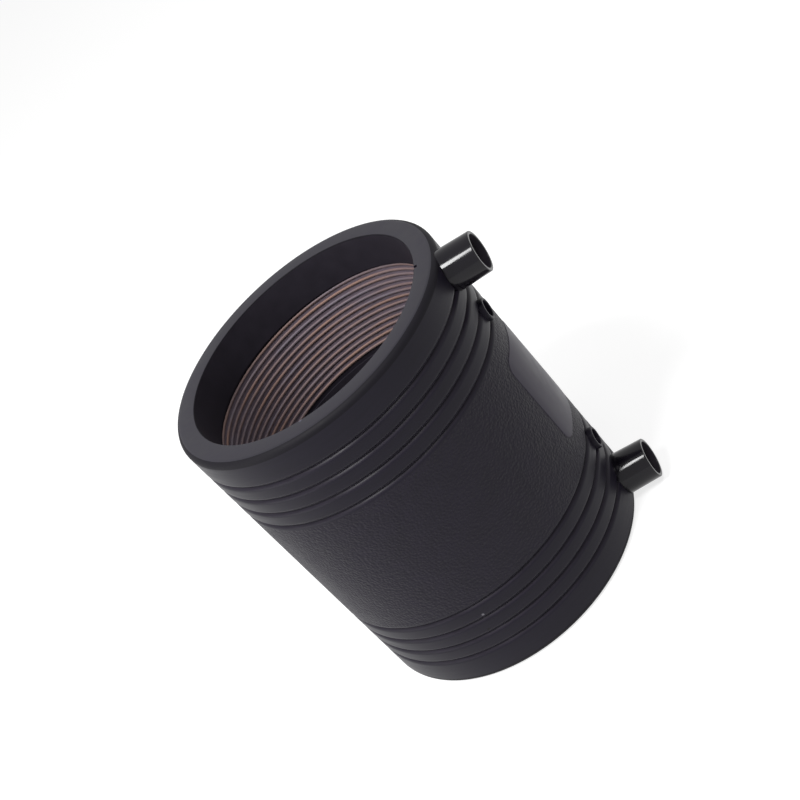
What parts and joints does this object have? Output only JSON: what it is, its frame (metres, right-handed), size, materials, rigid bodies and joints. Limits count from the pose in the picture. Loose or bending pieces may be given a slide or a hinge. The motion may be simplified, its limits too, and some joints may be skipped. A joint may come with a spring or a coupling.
{
  "type": "electrofusion coupler",
  "caption": "Black polyethylene sleeve that joins two pipe ends by heating wire windings in its bore, with shrouded terminal pins, fusion indicators, ring grooves and a label pad.",
  "frame": {"origin": "centre of the lower end face, on the pipe axis", "axes": "+Z along the pipe axis, upwards through the bore; +X towards the terminals and indicators"},
  "size_m": [0.1454, 0.131, 0.15],
  "materials": {
    "body": "moulded black polyethylene, satin ends and grained middle",
    "wire": "copper alloy resistance wire under a thin dark coat",
    "pins": "turned brass, dull"
  },
  "bodies": {
    "root": {"coupler_body": "body", "heating_wire": "wire", "terminal_pin_lower": "pins", "terminal_pin_upper": "pins"}
  },
  "joints": []
}
